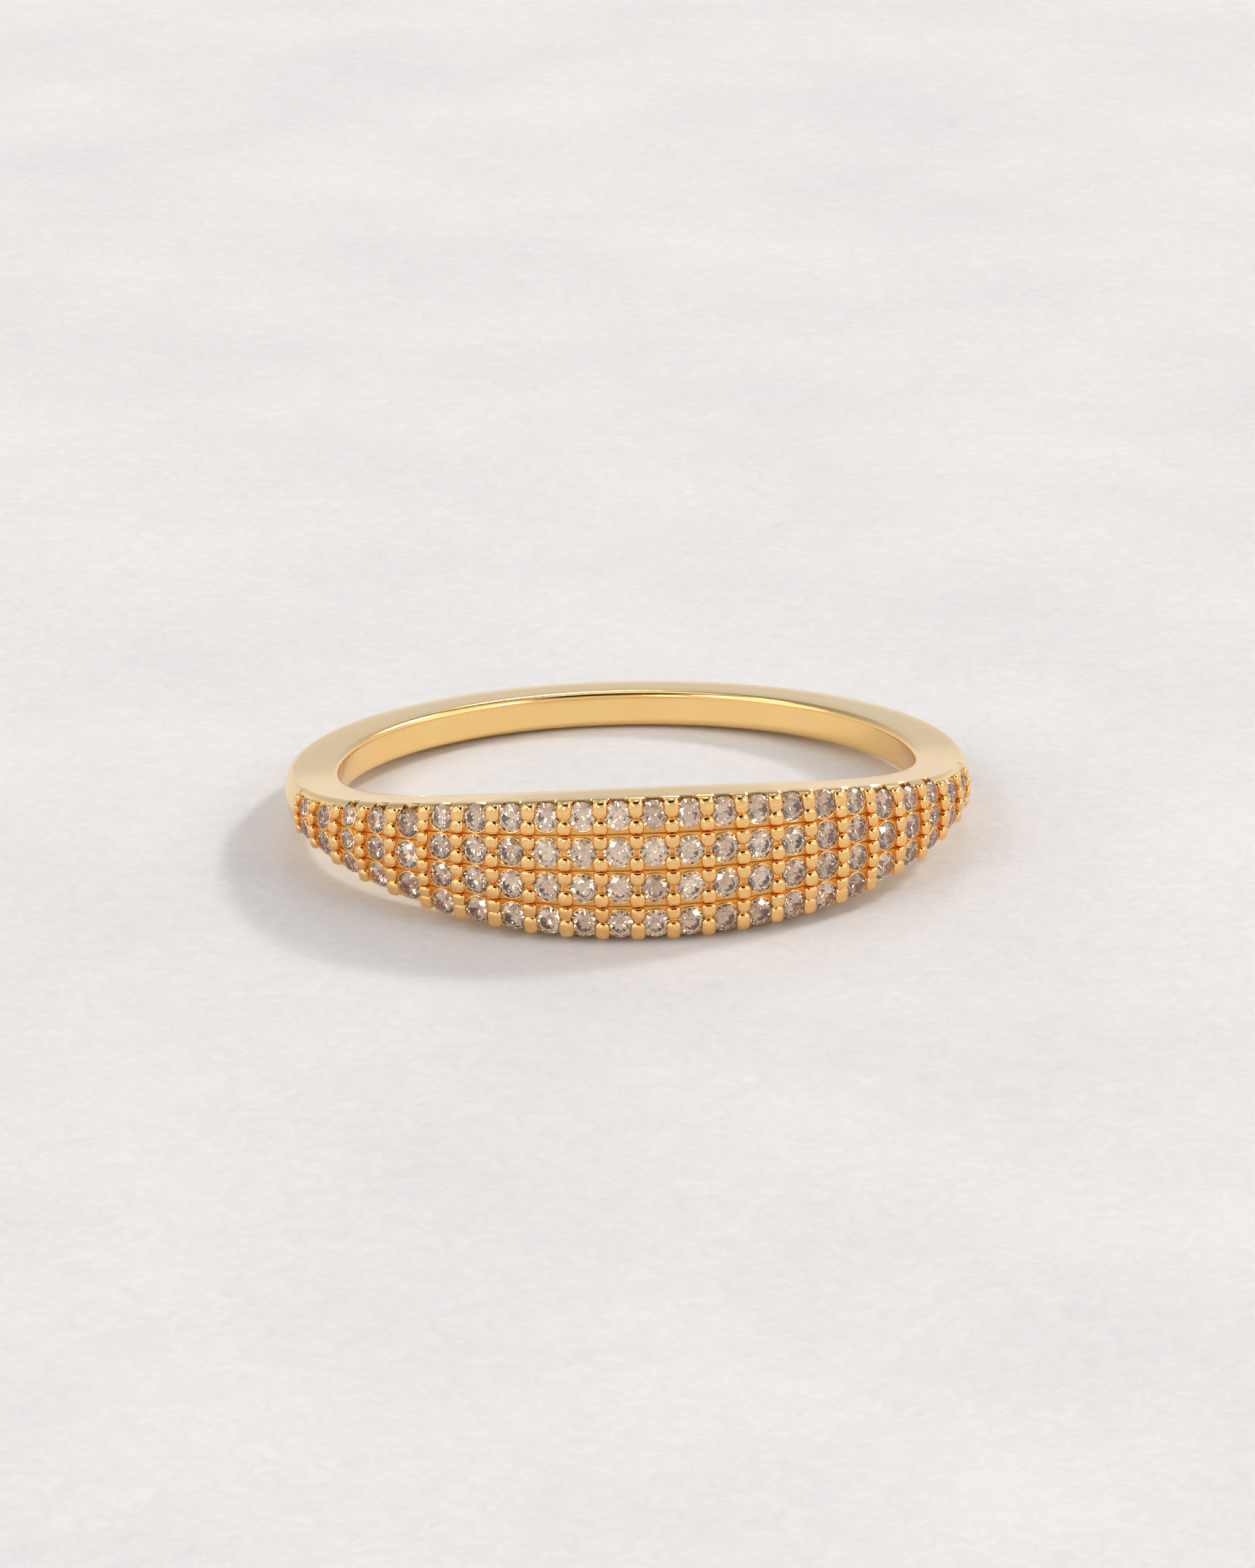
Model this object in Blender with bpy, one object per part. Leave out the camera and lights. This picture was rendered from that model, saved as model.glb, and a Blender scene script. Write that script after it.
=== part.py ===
"""Pave ring lying on its side, as it rests on a table.

A tapered gold band is broad at the front and narrow at the back. Its front carries a
field of small round stones in straight columns across the band, held by pairs of gold
beads, with a notch cut through the rim above and below each of the longer columns.
"""

import math

import bpy
from mathutils import Vector

MM = 0.001

# Band: plain polished gold, turned on a round finger size
BORE_RADIUS = 8.5 * MM
WALL = 1.62 * MM
DOME = 0.185 * MM
FRONT_WIDTH = 4.07 * MM
BACK_WIDTH = 1.10 * MM
TAPER_END = math.radians(97.0)
TAPER_POWER = 2.4
BORE_EDGE = 0.14 * MM
OUTER_EDGE = 0.10 * MM
BAND_SECTIONS = 72
FIELD_SECTIONS = 40
RIDGE_SHARE = 0.52
SMOOTH_BELOW = math.radians(30.0)

# Pave field: a plate with the setting's full outline, seated in a bed in the band
FIELD_MARGIN = 0.80 * MM
PLATE_DEPTH = 0.75 * MM
BED_GAP = 0.10 * MM
PLATE_STEPS = 16

# Columns of stones, counted outwards from the middle one
LAST_COLUMN = 11
COLUMN_PITCH = 1.01 * MM
PITCH_GROWTH = 0.0013 * MM
LAST_OF_FOUR = 6
LAST_OF_THREE = 9
OUTER_ROW_SHARE = {4: 0.78, 3: 0.64, 2: 0.42}

# Stones: round brilliants, smaller where the rows close up
STONE_DIAMETER = 0.84 * MM
STONE_SPACING = 0.06 * MM
STONE_SIDES = 8
TABLE_SHARE = 0.56
CROWN_RISE = 0.12 * MM
GIRDLE_DROP = 0.02 * MM
STONE_DEPTH = 0.42 * MM
FOOT_SHARE = 0.85

# Beads: two beside each stone in every wall between two columns, even where two stones are left
BEAD_DIAMETER = 0.42 * MM
BEAD_SIDES = 10
BEAD_OFFSET_SHARE = 0.29
BEAD_CLEARANCE = 0.02 * MM
BEAD_TO_RIM = 0.05 * MM
END_BEAD_DISTANCE = 0.60 * MM
BEAD_RISE = 0.20 * MM
CAP_SHARE = 0.70
BEAD_DEPTH = 0.15 * MM

# Notches through the rim, one beyond each end stone
NOTCH_SHARE = 0.69
NOTCH_DEPTH = 0.34 * MM
NOTCH_OVERCUT = 0.10 * MM

OUTER_RADIUS = BORE_RADIUS + WALL
BED_RADIUS = OUTER_RADIUS - DOME - PLATE_DEPTH


def half_width(angle):
    """Half the band's width at an angle from the middle of the front."""
    taper = max(0.0, 1.0 - (angle / TAPER_END) ** 2) ** TAPER_POWER
    return 0.5 * (BACK_WIDTH + (FRONT_WIDTH - BACK_WIDTH) * taper)


def face_radius(angle, height):
    """Radius of the domed outer face at a height from the band's mid-plane."""
    return OUTER_RADIUS - DOME * (height / half_width(angle)) ** 2


def ring_point(angle, radius, height):
    """Point at an angle from the front (-Y), a radius from the axis and a height."""
    return Vector((radius * math.sin(angle), -radius * math.cos(angle), height))


def section(angle, outer_edge):
    """Closed outline of the band in radius and height, from the lower bore edge outwards."""
    side = half_width(angle)
    shoulder = side - outer_edge
    ridge = side * RIDGE_SHARE
    lower = [
        (BORE_RADIUS, BORE_EDGE - side),
        (BORE_RADIUS + BORE_EDGE, -side),
        (OUTER_RADIUS - DOME - outer_edge, -side),
    ]
    if outer_edge:
        lower.append((face_radius(angle, shoulder), -shoulder))
    lower.append((face_radius(angle, ridge), -ridge))
    upper = [(radius, -height) for radius, height in reversed(lower)]
    return lower + [(OUTER_RADIUS, 0.0)] + upper


def mesh_from(name, points, faces):
    """Mesh data from points and faces."""
    mesh = bpy.data.meshes.new(name)
    mesh.from_pydata([tuple(point) for point in points], [], faces)
    mesh.validate()
    return mesh


def ring_mesh(name, sections, outer_edge):
    """The whole tapered band, with its outline swept round the bore."""
    angles = [2.0 * math.pi * i / sections for i in range(sections)]
    points = []
    for angle in angles:
        signed = angle if angle <= math.pi else angle - 2.0 * math.pi
        points += [ring_point(signed, radius, height) for radius, height in section(signed, outer_edge)]
    count = len(points) // sections
    faces = []
    for i in range(sections):
        here = i * count
        after = (i + 1) % sections * count
        for j in range(count):
            k = (j + 1) % count
            faces.append((here + j, after + j, after + k, here + k))
    return mesh_from(name, points, faces)


def column_angle(column):
    """Angle of a column, whose pitch along the outer face grows towards the ends."""
    return (COLUMN_PITCH * column + PITCH_GROWTH * column ** 3) / OUTER_RADIUS


def field_half_angle():
    """Angle at which the field ends, a margin past its last column."""
    return column_angle(LAST_COLUMN) + FIELD_MARGIN / OUTER_RADIUS


def arc_block_mesh(name, inner_radius, half_angle):
    """A block round the front from an inner radius to beyond the band, taller than it."""
    outer_radius = OUTER_RADIUS + WALL
    top = FRONT_WIDTH
    points = []
    for i in range(PLATE_STEPS + 1):
        angle = half_angle * (2.0 * i / PLATE_STEPS - 1.0)
        for radius, height in ((inner_radius, -top), (outer_radius, -top),
                               (outer_radius, top), (inner_radius, top)):
            points.append(ring_point(angle, radius, height))
    last = 4 * PLATE_STEPS
    faces = [(0, 1, 2, 3), (last + 3, last + 2, last + 1, last)]
    for i in range(PLATE_STEPS):
        for j in range(4):
            k = (j + 1) % 4
            faces.append((4 * i + j, 4 * i + 4 + j, 4 * i + 4 + k, 4 * i + k))
    return mesh_from(name, points, faces)


def row_count(column):
    """Stones in a column: four at the front, then three, then two."""
    if abs(column) <= LAST_OF_FOUR:
        return 4
    return 3 if abs(column) <= LAST_OF_THREE else 2


def row_pitch(angle, rows):
    """Distance between the stones of a column at an angle."""
    return 2.0 * OUTER_ROW_SHARE[rows] * half_width(angle) / (rows - 1)


def row_heights(angle, rows):
    """Heights of a column's stones, from the lowest."""
    pitch = row_pitch(angle, rows)
    return [(i - 0.5 * (rows - 1)) * pitch for i in range(rows)]


def stone_diameter(angle, rows):
    """Diameter that fits a column's pitch."""
    return min(STONE_DIAMETER, row_pitch(angle, rows) - STONE_SPACING)


def frame_at(angle, height):
    """Point on the outer face with its normal and the two directions along the face."""
    slope = 2.0 * DOME * height / half_width(angle) ** 2
    along = Vector((math.cos(angle), math.sin(angle), 0.0))
    normal = (ring_point(angle, 1.0, 0.0) + Vector((0.0, 0.0, slope))).normalized()
    across = normal.cross(along)
    return ring_point(angle, face_radius(angle, height), height), normal, along, across


def turned_rings(frame, sides, rings):
    """Points of regular polygons stacked along a face's normal, (radius, rise) for each."""
    centre, normal, along, across = frame
    points = []
    for radius, rise in rings:
        for i in range(sides):
            turn = 2.0 * math.pi * (i + 0.5) / sides
            spoke = along * math.cos(turn) + across * math.sin(turn)
            points.append(centre + normal * rise + spoke * radius)
    return points


def ring_faces(start, sides, count):
    """Walls between stacked polygons, with the lowest one closed."""
    faces = [tuple(start + sides - 1 - i for i in range(sides))]
    for level in range(count - 1):
        base = start + level * sides
        for i in range(sides):
            k = (i + 1) % sides
            faces.append((base + i, base + k, base + sides + k, base + sides + i))
    return faces


def stones_mesh(name):
    """Every stone: a sunk body, a crown of eight facets and a table."""
    points, faces = [], []
    for column in range(-LAST_COLUMN, LAST_COLUMN + 1):
        angle = column_angle(column)
        rows = row_count(column)
        radius = 0.5 * stone_diameter(angle, rows)
        rings = [(radius * FOOT_SHARE, -STONE_DEPTH), (radius, -GIRDLE_DROP),
                 (radius * TABLE_SHARE, CROWN_RISE)]
        for height in row_heights(angle, rows):
            start = len(points)
            points += turned_rings(frame_at(angle, height), STONE_SIDES, rings)
            faces += ring_faces(start, STONE_SIDES, len(rings))
            table = start + STONE_SIDES * (len(rings) - 1)
            faces.append(tuple(table + i for i in range(STONE_SIDES)))
    mesh = mesh_from(name, points, faces)
    for face in mesh.polygons:
        face.material_index = 1
    return mesh


def wall_rows(wall):
    """Rows of stones that a wall's beads hold, for the wall after a column."""
    nearer, farther = sorted((abs(wall), abs(wall + 1)))
    return row_count(farther) if farther > LAST_OF_THREE else row_count(nearer)


def bead_heights(angle, rows):
    """Heights of a wall's beads, from the lowest, and their radius."""
    room = half_width(angle) - BEAD_TO_RIM
    if rows == 2:
        spacing = 0.5 * room
        radius = 0.5 * min(BEAD_DIAMETER, spacing - BEAD_CLEARANCE)
        return [(i - 1.5) * spacing for i in range(4)], radius
    pitch = row_pitch(angle, rows)
    offset = BEAD_OFFSET_SHARE * pitch
    radius = 0.5 * min(BEAD_DIAMETER, pitch - 2.0 * offset - BEAD_CLEARANCE)
    reach = room - radius
    heights = [height + side for height in row_heights(angle, rows) for side in (-offset, offset)]
    return [max(-reach, min(reach, height)) for height in heights], radius


def bead_places():
    """Angle, height and radius of each bead, wall by wall."""
    places = []
    for wall in range(-LAST_COLUMN - 1, LAST_COLUMN + 1):
        angle = 0.5 * (column_angle(wall) + column_angle(wall + 1))
        if min(abs(wall), abs(wall + 1)) == LAST_COLUMN:
            end = column_angle(LAST_COLUMN) + END_BEAD_DISTANCE / OUTER_RADIUS
            angle = math.copysign(end, angle)
        heights, radius = bead_heights(angle, wall_rows(wall))
        places += [(angle, height, radius) for height in heights]
    return places


def beads_mesh(name):
    """Every bead: a short post that narrows to a flat top."""
    points, faces = [], []
    for angle, height, radius in bead_places():
        rings = [(radius, -BEAD_DEPTH), (radius * CAP_SHARE, BEAD_RISE)]
        frame = frame_at(angle, height)
        start = len(points)
        points += turned_rings(frame, BEAD_SIDES, rings)
        faces += ring_faces(start, BEAD_SIDES, len(rings))
        top = start + BEAD_SIDES * (len(rings) - 1)
        faces.append(tuple(top + i for i in range(BEAD_SIDES)))
    return mesh_from(name, points, faces)


def notches_mesh(name):
    """Blocks that open the rim beyond each end stone of the longer columns."""
    points, faces = [], []
    box = [(3, 2, 1, 0), (4, 5, 6, 7), (1, 5, 4, 0), (2, 6, 5, 1), (3, 7, 6, 2), (0, 4, 7, 3)]
    for column in range(-LAST_OF_THREE, LAST_OF_THREE + 1):
        angle = column_angle(column)
        rows = row_count(column)
        half = 0.5 * NOTCH_SHARE * stone_diameter(angle, rows)
        end = row_heights(angle, rows)[-1]
        beyond = half_width(angle) + NOTCH_OVERCUT
        for side in (-1.0, 1.0):
            centre, _, along, _ = frame_at(angle, side * end)
            out = ring_point(angle, 1.0, 0.0)
            start = len(points)
            for rise in (-NOTCH_DEPTH, NOTCH_DEPTH):
                for shift, height in ((-half, end), (half, end), (half, beyond), (-half, beyond)):
                    point = centre + out * rise + along * shift
                    points.append(Vector((point.x, point.y, side * height)))
            turned = box if side > 0.0 else [tuple(reversed(face)) for face in box]
            faces += [tuple(start + i for i in face) for face in turned]
    return mesh_from(name, points, faces)


def material(name, colour, metallic, roughness, transmission=0.0):
    """A plain surface."""
    made = bpy.data.materials.new(name)
    made.use_nodes = True
    shader = made.node_tree.nodes["Principled BSDF"]
    shader.inputs["Base Color"].default_value = (*colour, 1.0)
    shader.inputs["Metallic"].default_value = metallic
    shader.inputs["Roughness"].default_value = roughness
    shader.inputs["Transmission Weight"].default_value = transmission
    return made


def piece(name, mesh, materials, parent):
    """An object on the resting frame."""
    for surface in materials:
        mesh.materials.append(surface)
    made = bpy.data.objects.new(name, mesh)
    bpy.context.collection.objects.link(made)
    made.parent = parent
    return made


def guide(name, mesh, materials, parent):
    """A shape that only cuts or joins another."""
    made = piece(name, mesh, materials, parent)
    made.hide_render = True
    made.display_type = "WIRE"
    return made


def combine(target, operation, tool, solver="EXACT"):
    """Cut, keep or join a shape. The field's many small closed shapes need MANIFOLD."""
    step = target.modifiers.new(tool.name, "BOOLEAN")
    step.operation = operation
    step.solver = solver
    step.object = tool


def shade(target, limit):
    """Smooth shading with the true edges kept sharp."""
    target.data.shade_smooth()
    target.data.set_sharp_from_angle(angle=limit)


def lowest_and_middle(pieces):
    """Lowest height and middle in X and Y of the finished pieces."""
    bpy.context.view_layer.update()
    graph = bpy.context.evaluated_depsgraph_get()
    points = []
    for made in pieces:
        finished = made.evaluated_get(graph)
        points += [finished.matrix_world @ vertex.co for vertex in finished.data.vertices]
    middle = [0.5 * (min(p[i] for p in points) + max(p[i] for p in points)) for i in (0, 1)]
    return min(p.z for p in points), middle


def rest_on_table(frame, pieces):
    """Lean the ring on its bore edge at the front and its rim at the back."""
    front_foot = BORE_RADIUS + BORE_EDGE
    back_foot = OUTER_RADIUS - DOME - OUTER_EDGE
    lean = math.atan2(half_width(0.0) - half_width(math.pi), front_foot + back_foot)
    frame.rotation_euler = (-lean, 0.0, 0.0)
    lowest, middle = lowest_and_middle(pieces)
    frame.location = (-middle[0], -middle[1], -lowest)


def build():
    """Model the ring."""
    for old in list(bpy.data.objects):
        bpy.data.objects.remove(old, do_unlink=True)

    rest = bpy.data.objects.new("resting_frame", None)
    bpy.context.collection.objects.link(rest)

    band_gold = material("band_gold", (0.83, 0.60, 0.27), 1.0, 0.12)
    setting_gold = material("setting_gold", (0.83, 0.56, 0.21), 1.0, 0.16)
    clear_stone = material("clear_stone", (0.90, 0.84, 0.80), 0.0, 0.02, 0.9)
    field_surfaces = [setting_gold, clear_stone]

    band = piece("band", ring_mesh("band", BAND_SECTIONS, OUTER_EDGE), [band_gold], rest)
    field_end = field_half_angle()
    bed_end = field_end + BED_GAP / OUTER_RADIUS
    bed = guide("bed_cut", arc_block_mesh("bed_cut", BED_RADIUS, bed_end), [band_gold], rest)
    combine(band, "DIFFERENCE", bed)

    field = piece("pave_field", ring_mesh("pave_field", FIELD_SECTIONS, 0.0), field_surfaces, rest)
    plate = guide("plate_block", arc_block_mesh("plate_block", BED_RADIUS + BED_GAP, field_end),
                  field_surfaces, rest)
    notches = guide("rim_notches", notches_mesh("rim_notches"), field_surfaces, rest)
    stones = guide("stones", stones_mesh("stones"), field_surfaces, rest)
    beads = guide("beads", beads_mesh("beads"), field_surfaces, rest)
    combine(field, "INTERSECT", plate, "MANIFOLD")
    combine(field, "DIFFERENCE", notches, "MANIFOLD")
    combine(stones, "UNION", beads, "MANIFOLD")
    combine(field, "UNION", stones, "MANIFOLD")

    shade(band, SMOOTH_BELOW)
    rest_on_table(rest, [band, field])


build()
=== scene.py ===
import math
import random

import bpy
from mathutils import Matrix, Vector


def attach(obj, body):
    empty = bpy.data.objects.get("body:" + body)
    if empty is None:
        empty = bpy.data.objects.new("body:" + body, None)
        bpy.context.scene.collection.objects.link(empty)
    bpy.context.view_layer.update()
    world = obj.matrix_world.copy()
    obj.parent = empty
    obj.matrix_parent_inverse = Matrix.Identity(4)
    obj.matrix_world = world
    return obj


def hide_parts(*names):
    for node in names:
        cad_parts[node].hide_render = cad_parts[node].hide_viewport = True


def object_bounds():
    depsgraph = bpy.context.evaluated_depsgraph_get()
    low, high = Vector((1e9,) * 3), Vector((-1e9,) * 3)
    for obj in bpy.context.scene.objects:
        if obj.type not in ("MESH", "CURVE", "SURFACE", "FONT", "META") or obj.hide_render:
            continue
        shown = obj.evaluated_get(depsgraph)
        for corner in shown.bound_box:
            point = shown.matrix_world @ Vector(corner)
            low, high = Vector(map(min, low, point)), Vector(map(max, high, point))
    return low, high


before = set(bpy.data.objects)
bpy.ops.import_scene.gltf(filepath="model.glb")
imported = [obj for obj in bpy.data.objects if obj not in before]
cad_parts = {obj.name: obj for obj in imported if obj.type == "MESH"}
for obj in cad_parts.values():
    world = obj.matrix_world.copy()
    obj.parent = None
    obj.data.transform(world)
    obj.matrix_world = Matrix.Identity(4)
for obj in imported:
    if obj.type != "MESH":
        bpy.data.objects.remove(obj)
cad_low, cad_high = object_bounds()


# Gold band
# One casting in yellow gold. A round finger bore, flat sides and a softly domed outer face swell from a
# plain narrow back to a broad front. The outside is filed and buffed to a mirror, the bore is buffed round.

MM = 0.001
BORE_RADIUS = 8.5 * MM
WALL = 1.62 * MM
OUTER_RADIUS = BORE_RADIUS + WALL
DOME = 0.185 * MM
FRONT_WIDTH = 4.07 * MM
BACK_WIDTH = 1.10 * MM
TAPER_END = math.radians(97.0)
TAPER_POWER = 2.4

# Bevels of the solids at the bore and the rim, which set how the ring rests, and the roundings drawn here
BORE_EDGE = 0.14 * MM
RIM_EDGE = 0.10 * MM
BORE_ROUND = 0.19 * MM
RIM_ROUND = 0.23 * MM
EDGE_STEPS = 6
EDGE_TURNS = [0.5 * math.pi * i / EDGE_STEPS for i in range(EDGE_STEPS + 1)]

# Bed of the stones, with saw lines between its rows. A line's sides bend at these shares of its half
# width and its depth.
FIELD_MARGIN = 0.80 * MM
FLOOR_DROP = 0.035 * MM
FLOOR_RAMP = 0.10 * MM
GROOVE_WIDTH = 0.05 * MM
GROOVE_DEPTH = 0.05 * MM
GROOVE_BEND = 0.4
GROOVE_BEND_DEPTH = 0.8

# Spacing of the band's sections, and of the points along the bore, a side face and the outer face
FIELD_STEP = 0.13 * MM
BACK_STEP = math.radians(1.6)
BORE_SHARES = (0.0, 0.35, 0.7)
SIDE_STEPS = 3
RIM_TO_LINE_STEPS = 5
LINE_TO_MIDDLE_STEPS = 6

# Layout of the stones, by the number of a column from the middle one. The share is how far from the middle
# of the face the outer rows lie, for each number of rows.
LAST_COLUMN = 11
LAST_OF_FOUR = 6
LAST_OF_THREE = 9
COLUMN_PITCH = 1.01 * MM
PITCH_GROWTH = 0.0013 * MM
OUTER_ROW_SHARE = {4: 0.78, 3: 0.64, 2: 0.42}
STONE_DIAMETER = 0.84 * MM
STONE_SPACING = 0.06 * MM
GIRDLE_DROP = 0.02 * MM

# Drilled seats and cut notches
SEAT_CLEARANCE = 0.012 * MM
SEAT_DEPTH = 0.46 * MM
SEAT_BOTTOM_SHARE = 0.45
SEAT_SIDES = 28
NOTCH_SHARE = 0.69
NOTCH_DEPTH = 0.28 * MM
NOTCH_CORNER = 0.12 * MM
NOTCH_BEVEL = 0.03 * MM
CUT_PAST = 0.30 * MM
BAND_CREASE = math.radians(32.0)


def half_width(angle):
    """Half the band's width at an angle from the middle of the front."""
    taper = max(0.0, 1.0 - (angle / TAPER_END) ** 2) ** TAPER_POWER
    return 0.5 * (BACK_WIDTH + (FRONT_WIDTH - BACK_WIDTH) * taper)


def face_radius(angle, height):
    """Radius of the domed outer face at a height from the band's mid-plane."""
    return OUTER_RADIUS - DOME * (height / half_width(angle)) ** 2


def ring_point(angle, radius, height):
    """Point at an angle from the front, a radius from the ring's axis and a height."""
    return Vector((radius * math.sin(angle), -radius * math.cos(angle), height))


def column_angle(column):
    """Angle of a column of stones, counted from the middle one."""
    return (COLUMN_PITCH * column + PITCH_GROWTH * column ** 3) / OUTER_RADIUS


def row_count(column):
    """Stones in a column: four at the front, then three, then two."""
    if abs(column) <= LAST_OF_FOUR:
        return 4
    return 3 if abs(column) <= LAST_OF_THREE else 2


def row_pitch(angle, rows):
    """Distance between the stones of a column at an angle."""
    return 2.0 * OUTER_ROW_SHARE[rows] * half_width(angle) / (rows - 1)


def row_heights(angle, rows):
    """Heights of a column's stones, from the lowest."""
    return [(i - 0.5 * (rows - 1)) * row_pitch(angle, rows) for i in range(rows)]


def stone_radius(column):
    """Radius that fits a column's pitch."""
    pitch = row_pitch(column_angle(column), row_count(column))
    return 0.5 * min(STONE_DIAMETER, pitch - STONE_SPACING)


def face_frame(angle, height):
    """Point on the outer face with its normal and the two directions along the face."""
    slope = 2.0 * DOME * height / half_width(angle) ** 2
    along = Vector((math.cos(angle), math.sin(angle), 0.0))
    normal = (ring_point(angle, 1.0, 0.0) + Vector((0.0, 0.0, slope))).normalized()
    return ring_point(angle, face_radius(angle, height), height), normal, along, normal.cross(along)


FIELD_END = column_angle(LAST_COLUMN) + FIELD_MARGIN / OUTER_RADIUS
STONES = [(column_angle(column), height, stone_radius(column))
          for column in range(-LAST_COLUMN, LAST_COLUMN + 1)
          for height in row_heights(column_angle(column), row_count(column))]

# The broad front props the ring up: it leans back until the narrow back touches the ground too
LEAN = math.atan2(half_width(0.0) - half_width(math.pi),
                  BORE_RADIUS + BORE_EDGE + OUTER_RADIUS - DOME - RIM_EDGE)
REST = (Matrix.Translation((0.5 * (cad_low.x + cad_high.x),
                            cad_high.y - OUTER_RADIUS * math.cos(LEAN),
                            half_width(0.0) * math.cos(LEAN) - (BORE_RADIUS + BORE_EDGE) * math.sin(LEAN)))
        @ Matrix.Rotation(-LEAN, 4, "X"))


def groove_lines(angle):
    """Height of the upper groove between rows, with its depth and that of the middle groove."""
    column = 0
    while column < LAST_COLUMN and abs(angle) > 0.5 * (column_angle(column) + column_angle(column + 1)):
        column += 1
    rows = row_count(column)
    inside = 1.0 if abs(angle) < FIELD_END else 0.0
    if rows == 4:
        return row_pitch(angle, 4), GROOVE_DEPTH * inside, GROOVE_DEPTH * inside
    if rows == 3:
        return 0.5 * row_pitch(angle, 3), GROOVE_DEPTH * inside, 0.0
    return 0.5 * half_width(angle), 0.0, GROOVE_DEPTH * inside


def spread(start, end, count):
    """Evenly spaced values after the start, up to the end."""
    return [start + (end - start) * (i + 1) / count for i in range(count)]


def band_outline(angle):
    """Closed outline of the band in radius and height, from the middle of the bore and back to it."""
    side = half_width(angle)
    ramp = (FIELD_END - abs(angle)) * OUTER_RADIUS / FLOOR_RAMP
    drop = FLOOR_DROP * min(1.0, max(0.0, ramp))
    half = [(BORE_RADIUS, share * (side - BORE_ROUND)) for share in BORE_SHARES]
    half += [(BORE_RADIUS + BORE_ROUND * (1.0 - math.cos(turn)), side - BORE_ROUND * (1.0 - math.sin(turn)))
             for turn in EDGE_TURNS]
    shoulder = side - RIM_ROUND
    rim = face_radius(angle, shoulder) - drop
    half += [(radius, side) for radius in spread(BORE_RADIUS + BORE_ROUND, rim - RIM_ROUND, SIDE_STEPS)[:-1]]
    half += [(rim - RIM_ROUND * (1.0 - math.sin(turn)), side - RIM_ROUND * (1.0 - math.cos(turn)))
             for turn in EDGE_TURNS]
    line, line_depth, middle_depth = groove_lines(angle)
    reach = 0.5 * GROOVE_WIDTH
    bend = GROOVE_BEND * reach
    face = [(height, 0.0) for height in spread(shoulder, line + reach, RIM_TO_LINE_STEPS)]
    face += [(line + bend, GROOVE_BEND_DEPTH * line_depth), (line, line_depth),
             (line - bend, GROOVE_BEND_DEPTH * line_depth), (line - reach, 0.0)]
    face += [(height, 0.0) for height in spread(line - reach, reach, LINE_TO_MIDDLE_STEPS)]
    face += [(bend, GROOVE_BEND_DEPTH * middle_depth), (0.0, middle_depth)]
    half += [(face_radius(angle, height) - drop - depth, height) for height, depth in face]
    return half + [(radius, -height) for radius, height in reversed(half[1:-1])]


def band_angles():
    """Angles of the sections, close together where the stones are set."""
    steps = int(FIELD_END * OUTER_RADIUS / FIELD_STEP)
    ramp = FLOOR_RAMP / OUTER_RADIUS
    front = [(FIELD_END - ramp) * i / steps for i in range(steps)]
    front += [FIELD_END - ramp, FIELD_END - 0.5 * ramp, FIELD_END, FIELD_END + ramp]
    back = spread(front[-1], math.pi, round((math.pi - front[-1]) / BACK_STEP))
    half = front + back
    return [-angle for angle in reversed(half[1:-1])] + half


def mesh_object(name, points, faces):
    """A mesh object in the ring's own frame."""
    mesh = bpy.data.meshes.new(name)
    mesh.from_pydata([tuple(point) for point in points], [], faces)
    made = bpy.data.objects.new(name, mesh)
    bpy.context.scene.collection.objects.link(made)
    return made


def band_mesh():
    """The plain casting, swept round the bore."""
    angles = band_angles()
    points = []
    for angle in angles:
        points += [ring_point(angle, radius, height) for radius, height in band_outline(angle)]
    count = len(points) // len(angles)
    faces = []
    for i in range(len(angles)):
        here, after = i * count, (i + 1) % len(angles) * count
        for j in range(count):
            k = (j + 1) % count
            faces.append((here + k, after + k, after + j, here + j))
    return mesh_object("gold_band", points, faces)


def stacked_faces(start, sides, levels):
    """Faces of a closed stack of polygons, each given counterclockwise from outside."""
    faces = [tuple(start + sides - 1 - i for i in range(sides))]
    for level in range(levels - 1):
        base = start + level * sides
        for i in range(sides):
            k = (i + 1) % sides
            faces.append((base + i, base + k, base + sides + k, base + sides + i))
    top = start + (levels - 1) * sides
    faces.append(tuple(top + i for i in range(sides)))
    return faces


def seat_cutters():
    """A drilled seat for each stone, with a tapered bottom."""
    points, faces = [], []
    for angle, height, radius in STONES:
        centre, normal, along, across = face_frame(angle, height)
        wall = radius + SEAT_CLEARANCE
        start = len(points)
        levels = [(SEAT_BOTTOM_SHARE * radius, -SEAT_DEPTH), (wall, -FLOOR_DROP - GIRDLE_DROP),
                  (wall, CUT_PAST)]
        for reach, rise in levels:
            for i in range(SEAT_SIDES):
                turn = 2.0 * math.pi * i / SEAT_SIDES
                spoke = along * math.cos(turn) + across * math.sin(turn)
                points.append(centre + normal * rise + spoke * reach)
        faces += stacked_faces(start, SEAT_SIDES, len(levels))
    return mesh_object("seat_cutters", points, faces)


def notch_outline(half, inner, outer, corner):
    """Plan of a notch, from one side over its rounded inner end to the other."""
    left = [(-half + corner * (1.0 - math.cos(turn)), inner + corner * (1.0 - math.sin(turn)))
            for turn in EDGE_TURNS]
    return [(-half, outer)] + left + [(-x, y) for x, y in reversed(left)] + [(half, outer)]


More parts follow.
